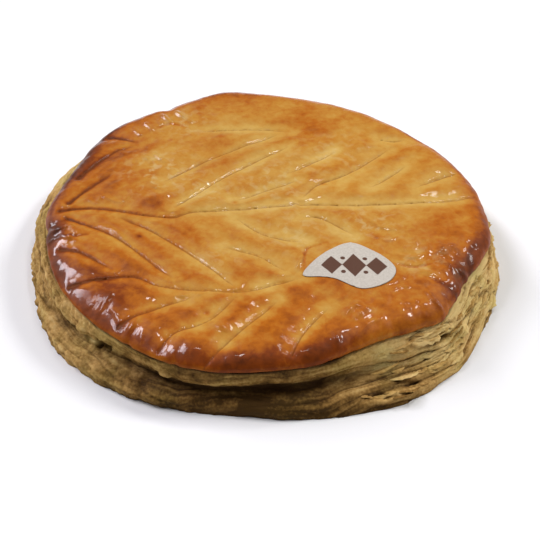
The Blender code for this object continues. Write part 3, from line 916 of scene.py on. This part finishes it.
def layers(finish, surface):
    """The side: folded and sheeted pastry, closed at the top under the crust and flat below."""
    angle, radius, height, painted_shade, tone = surface
    rim = rim_radius(angle)
    flat = np.zeros_like(angle)
    radius = np.vstack((rim - 8 * MM, rim - 3 * MM, radius, radius[-1] - BOTTOM_INSET))
    height = np.vstack((flat + SIDE_TOP + 0.6 * MM, flat + SIDE_TOP + 0.5 * MM, height, flat))
    # Painted shade: full on the closed top under the crust, half on the flat bottom
    painted_shade = np.vstack((flat + 1, flat + 1, painted_shade, flat + 0.5))
    points = np.stack((radius * np.cos(angle), radius * np.sin(angle), height), axis=2).reshape(-1, 3)
    points[:, :2] += PLAN_SHIFT
    points = np.vstack((points, [(*PLAN_SHIFT, SIDE_TOP + 0.6 * MM), (*PLAN_SHIFT, 0)]))
    rows = len(radius)
    ring = np.arange(SIDE_STEPS)
    faces = []
    for row in range(rows - 1):
        upper = ring + row * SIDE_STEPS
        faces.extend(ring_faces(upper + SIDE_STEPS, upper))
    top_centre = rows * SIDE_STEPS
    faces.extend(fan_faces(ring, top_centre))
    faces.extend(fan_faces(ring + (rows - 1) * SIDE_STEPS, top_centre + 1)[:, ::-1])
    tone = np.vstack((flat, flat, tone, flat))
    # Browning and painted shade: by direction, with the tones, and darker at the bottom edge and low at the
    # front, partly toasting and partly painted shade
    toast_and_shade = side_toast_and_shade(angle) + tone + 0.35 * np.exp(-height / (1.2 * MM))
    toast_and_shade += lobes_at(angle, LOW_BROWN_AND_SHADE_LOBES) * smooth_step(height, *LOW_BROWN_AND_SHADE_HEIGHT)
    attributes = {"toast_and_shade": np.append(toast_and_shade, [0.3, 0.6]), "painted_shade": np.append(painted_shade, [1, 0.5])}
    return make_mesh("layers", points, faces, attributes, finish)


def side_toast_and_shade(angle):
    """How brown the side is: pale on the right and behind, darker at the front and left, partly browning and
    partly painted shade.
    """
    return SIDE_BROWN + lobes_at(angle, SIDE_BROWN_AND_SHADE_LOBES)


def flakes(finish, surface):
    """Loose shards of pastry that stand out from the side, each a thin closed blade."""
    points, faces, toast_and_shade = [], [], []
    while len(toast_and_shade) < FLAKES:
        direction = random.uniform(0, 2 * math.pi)
        if random.random() > 1.4 * float(flare_share(direction)) - 0.4:
            continue
        first = len(points)
        blade, quads = flake(direction, surface)
        points += blade
        faces += [tuple(first + corner for corner in quad) for quad in quads]
        # Each flake takes the side's browning and painted shade where it stands, spread at random
        toast_and_shade.append(random.gauss(0.08, 0.18) + float(side_toast_and_shade(direction)))
    attributes = {"toast_and_shade": np.repeat(toast_and_shade, len(points) // FLAKES), "painted_shade": np.zeros(len(points))}
    return make_mesh("flakes", np.array(points), faces, attributes, finish)


def flake(direction, surface):
    """One blade: its points, an upper and a lower sheet that meet round its edge, and its faces."""
    _, radius, height, _, _ = surface
    length = random.uniform(*FLAKE_LENGTHS) * MM
    width = random.uniform(*FLAKE_WIDTHS) * MM
    row = random.uniform(0.08, 0.93) * SIDE_ROWS
    climb = random.uniform(-2.5, 2.5)
    droop = random.uniform(-0.5, 0.35)
    skew = random.uniform(0.3, 0.7)
    upper, lower = [], []
    for step in range(FLAKE_STEPS + 1):
        along = step / FLAKE_STEPS
        turn = direction + (along - 0.5) * length / SIDE_CIRCLE
        column = int(round(turn / (2 * math.pi) * SIDE_STEPS)) % SIDE_STEPS
        level = min(SIDE_ROWS - 3, max(3, int(row + climb * math.sin(math.pi * (along - 0.5)))))
        root_radius, root_height = radius[level, column], height[level, column]
        bow = (along / skew) if along < skew else (1 - along) / (1 - skew)
        reach = width * math.sin(math.pi / 2 * bow) ** 0.8 * (1 + 0.25 * random.uniform(-1, 1))
        taper = 0.3 + 0.7 * min(1, 4 * along, 4 * (1 - along))
        for share in (FLAKE_ROOT, reach * 0.5, reach):
            out = root_radius + share
            drop = droop * max(share, 0) * (1 + max(share, 0) / (2 * MM))
            thick = FLAKE_THICKNESS * (1 if share < reach else 0.35) * taper
            place = (out * math.cos(turn) + PLAN_SHIFT[0], out * math.sin(turn) + PLAN_SHIFT[1])
            z = max(root_height + drop, FLAKE_LOWEST)
            upper.append((*place, z + thick / 2))
            lower.append((*place, z - thick / 2))
    count = len(upper)
    quads = []
    for step in range(FLAKE_STEPS):
        for across in range(2):
            a = step * 3 + across
            b = a + 3
            quads.append((a, b, b + 1, a + 1))
            quads.append((a + count, a + 1 + count, b + 1 + count, b + count))
        inner, outer = step * 3, step * 3 + 2
        quads.append((inner, inner + count, inner + 3 + count, inner + 3))
        quads.append((outer, outer + 3, outer + 3 + count, outer + count))
    for end, order in ((0, 1), (FLAKE_STEPS * 3, -1)):
        for across in range(2):
            a = end + across
            quads.append((a, a + 1, a + 1 + count, a + count)[::order])
    return upper + lower, quads


class Finish:
    """A material in the making, with a short call for each kind of node used here."""

    def __init__(self, name):
        self.made = bpy.data.materials.new(name)
        self.made.use_nodes = True
        self.tree = self.made.node_tree

    def fill(self, node, values):
        """Set each named socket to its number or colour, or link another node's socket to it."""
        for name, value in values.items():
            if isinstance(value, (int, float)):
                node.inputs[name].default_value = value
            elif isinstance(value, tuple):
                node.inputs[name].default_value = (*value, 1)
            else:
                self.tree.links.new(value, node.inputs[name])

    def shade(self, values):
        """Fill the shader's sockets, and give the material back."""
        self.fill(self.tree.nodes["Principled BSDF"], values)
        return self.made

    def add(self, kind, output, values, **settings):
        """Add a node, fill its sockets, and give one of its outputs back."""
        node = self.tree.nodes.new("ShaderNode" + kind)
        for name, value in settings.items():
            setattr(node, name, value)
        self.fill(node, values)
        return node.outputs[output]

    def place(self):
        return self.add("TexCoord", "Object", {})

    def attribute(self, name):
        return self.add("Attribute", "Fac", {}, attribute_name=name)

    def texture(self, place, scale, detail, distortion=0.0):
        values = {"Vector": place, "Scale": scale, "Detail": detail, "Distortion": distortion}
        return self.add("TexNoise", "Fac", values)

    def mapped(self, source, low, high, to_low, to_high):
        values = {"Value": source, "From Min": low, "From Max": high, "To Min": to_low, "To Max": to_high}
        return self.add("MapRange", "Result", values)

    def combine(self, operation, first, second):
        return self.add("Math", 0, {0: first, 1: second}, operation=operation)

    def mix(self, factor, first, second, blend="MIX"):
        values = {0: factor, 6: first, 7: second}
        return self.add("Mix", 2, values, data_type="RGBA", blend_type=blend)

    def bump(self, height, strength, distance, **under):
        values = {"Height": height, "Strength": strength, "Distance": distance, **under}
        return self.add("Bump", "Normal", values)

    def ramp(self, source, stops):
        """A colour ramp through stops of (position, colour)."""
        node = self.tree.nodes.new("ShaderNodeValToRGB")
        elements = node.color_ramp.elements
        while len(elements) < len(stops):
            elements.new(0.5)
        for element, (position, colour) in zip(elements, stops):
            element.position = position
            element.color = (*colour, 1)
        self.fill(node, {"Fac": source})
        return node.outputs["Color"]


def crust_material():
    """Egg-washed puff pastry: straw to burnt brown, darker in the cuts, under an uneven gloss."""
    look = Finish("crust")
    place = look.place()
    mottle = look.mapped(look.texture(place, 320, 6, 0.4), 0.3, 0.7, -0.06, 0.06)
    freckle = look.mapped(look.texture(place, 900, 2), 0.6, 0.8, 0, 0.05)
    # The brown attribute carries painted shade in the creases and round the raised wrinkles
    brown = look.combine("ADD", look.attribute("brown"), mottle)
    colour = look.ramp(look.combine("ADD", brown, freckle), CRUST_COLOURS)

    # Pale dry skin in places, in small uneven flecks
    fleck = look.mapped(look.texture(place, 210, 4, 0.4), 0.5, 0.64, 0, 0.5)
    fleck = look.combine("MULTIPLY", fleck, look.attribute("flecks"))
    colour = look.mix(fleck, colour, FLECK_COLOUR)

    # The cuts are fine dark lines of uneven strength
    cut = look.attribute("cut")
    cut_depth = look.attribute("cut_depth")
    width = look.mapped(look.texture(place, 420, 2), 0.3, 0.7, 0.2, 0.7)
    line = look.mapped(look.combine("DIVIDE", cut, width), 0.3, 1.5, 0.7, 0)
    line = look.combine("MULTIPLY", line, cut_depth)

    # The egg wash is uneven, and dry in the cuts
    gloss = look.mapped(look.texture(place, 90, 3), 0.3, 0.65, 0.45, 1)
    gloss = look.combine("MULTIPLY", gloss, look.attribute("gloss"))
    dry = look.combine("MULTIPLY", look.mapped(cut, 0.4, 1.8, 0.8, 0), cut_depth)
    glazed = look.bump(look.texture(place, 125, 0.6, 0.6), 0.4, 0.0011)
    return look.shade({
        "Base Color": look.mix(line, colour, CUT_COLOUR),
        "Roughness": look.mapped(look.texture(place, 150, 4), 0.3, 0.7, 0.34, 0.55),
        "Specular IOR Level": 0.08,
        "Normal": look.bump(look.texture(place, 1300, 3), 0.25, 0.0003, Normal=glazed),
        "Coat Weight": look.combine("MULTIPLY", gloss, look.combine("SUBTRACT", 1, dry)),
        "Coat Roughness": 0.09,
        "Coat IOR": 1.4,
        "Coat Normal": glazed,
    })


def layers_material():
    """Matt baked sheets: straw with toasted edges, rawer in places, and darkened by painted shade in the
    folds.
    """
    look = Finish("layers")
    place = look.place()
    patch = look.mapped(look.texture(place, 110, 4), 0.3, 0.7, -0.16, 0.16)
    grain = look.texture(place, 700, 4)
    toast_and_shade = look.combine("ADD", look.attribute("toast_and_shade"), patch)
    toast_and_shade = look.combine("ADD", toast_and_shade, look.mapped(grain, 0.3, 0.7, -0.12, 0.12))
    raw = look.mapped(look.texture(place, 60, 3), 0.4, 0.65, 0, 0.75)
    colour = look.mix(raw, look.ramp(toast_and_shade, LAYER_COLOURS), RAW_TINT, "MULTIPLY")
    # Painted shade darkens the folds, holes and crease towards a dark brown
    painted_shade = look.mapped(look.attribute("painted_shade"), 0.2, 1, 0, 0.95)
    return look.shade({
        "Base Color": look.mix(painted_shade, colour, FOLD_SHADE_COLOUR),
        "Roughness": 0.62,
        "Specular IOR Level": 0.06,
        "Normal": look.bump(grain, 0.6, 0.0006),
    })


def label(finish):
    """The paper tag, laid on the crust."""
    share, angle, faces, edge = disc_grid(LABEL_CELLS)
    reach = share * label_reach(angle)
    along, across = reach * np.cos(angle), reach * np.sin(angle)
    plan = np.column_stack((along, across)) + np.array(LABEL_CENTRE)
    distance, _, depth = nearest_cut(plan)
    height = crust_height(plan, distance, depth, 1)
    for place, rise in LABEL_CREASES:
        height += rise * MM * np.exp(-(((along / MM - place) / LABEL_CREASE_WIDTH) ** 2))
    lower = np.column_stack((plan + PLAN_SHIFT, height + LABEL_GAP))
    upper = lower + np.array((0, 0, LABEL_THICKNESS))
    count = len(plan)
    points = np.vstack((upper, lower))
    all_faces = [*faces, *(faces[:, ::-1] + count), *ring_faces(edge + count, edge)]
    ink = ornament(along / MM, across / MM)
    attributes = {"ink": np.append(ink, [FAR] * count)}
    return make_mesh("paper_label", points, all_faces, attributes, finish, "label")


def ornament(along, across):
    """Distance in millimetres to a row of lozenges with dots between them, below 0 inside them."""
    across = across + ORNAMENT_DROP
    shapes = []
    for centre, half_length, half_height in LOZENGES:
        share = np.abs(along - centre) / half_length + np.abs(across) / half_height
        shapes.append((share - 1) * half_height / 2)
    for centre in DOT_PLACES:
        for side in (-1, 1):
            shapes.append(np.hypot(along - centre, across + side * DOT_OFFSET) - DOT_RADIUS)
    return np.min(shapes, axis=0)


def label_material():
    """Matt fibrous paper with a plain brown print."""
    look = Finish("paper")
    fibre = look.texture(look.place(), 900, 5)
    ink = look.mapped(look.attribute("ink"), -0.15, 0.15, 0.97, 0)
    return look.shade({
        "Base Color": look.mix(ink, look.ramp(fibre, PAPER_COLOURS), INK_COLOUR),
        "Roughness": 0.6,
        "Specular IOR Level": 0.2,
        "Normal": look.bump(fibre, 0.15, 0.0002),
    })


def stage():
    """A plain pale floor, soft studio light and the camera."""
    corners = [(x * FLOOR_REACH, y * FLOOR_REACH, 0) for x, y in ((-1, -1), (1, -1), (1, 1), (-1, 1))]
    floor_mesh = bpy.data.meshes.new("floor")
    floor_mesh.from_pydata(corners, [], [(0, 1, 2, 3)])
    floor = add_object("floor", floor_mesh)
    floor_mesh.materials.append(Finish("floor").shade({"Base Color": FLOOR_COLOUR, "Roughness": 0.9}))

    for light in LIGHTS:
        sun(*light)

    scene = bpy.context.scene
    scene.world = bpy.data.worlds.new("studio")
    scene.world.use_nodes = True
    sky = scene.world.node_tree.nodes["Background"].inputs
    sky["Color"].default_value = (*WHITE, 1)
    sky["Strength"].default_value = SKY_STRENGTH
    scene.view_settings.view_transform = "Standard"

    camera = add_object("camera", bpy.data.cameras.new("camera"))
    camera.data.lens = CAMERA_LENS
    camera.data.sensor_width = CAMERA_SENSOR
    towards = Vector((0, -math.cos(CAMERA_PITCH), math.sin(CAMERA_PITCH)))
    camera.location = CAMERA_TARGET + CAMERA_DISTANCE * towards
    camera.rotation_euler = (math.pi / 2 - CAMERA_PITCH, 0, 0)
    scene.camera = camera


def sun(name, direction, width, strength, colour):
    """A far soft light from this direction, as wide across as this many degrees."""
    light = bpy.data.lights.new(name, "SUN")
    light.angle = math.radians(width)
    light.energy = strength
    light.color = colour
    made = add_object(name, light)
    made.rotation_euler = Vector(direction).to_track_quat("Z", "Y").to_euler()


random.seed(6)
stage()
crust(crust_material())
pastry = layers_material()
side = side_surface()
layers(pastry, side)
flakes(pastry, side)
label(label_material())
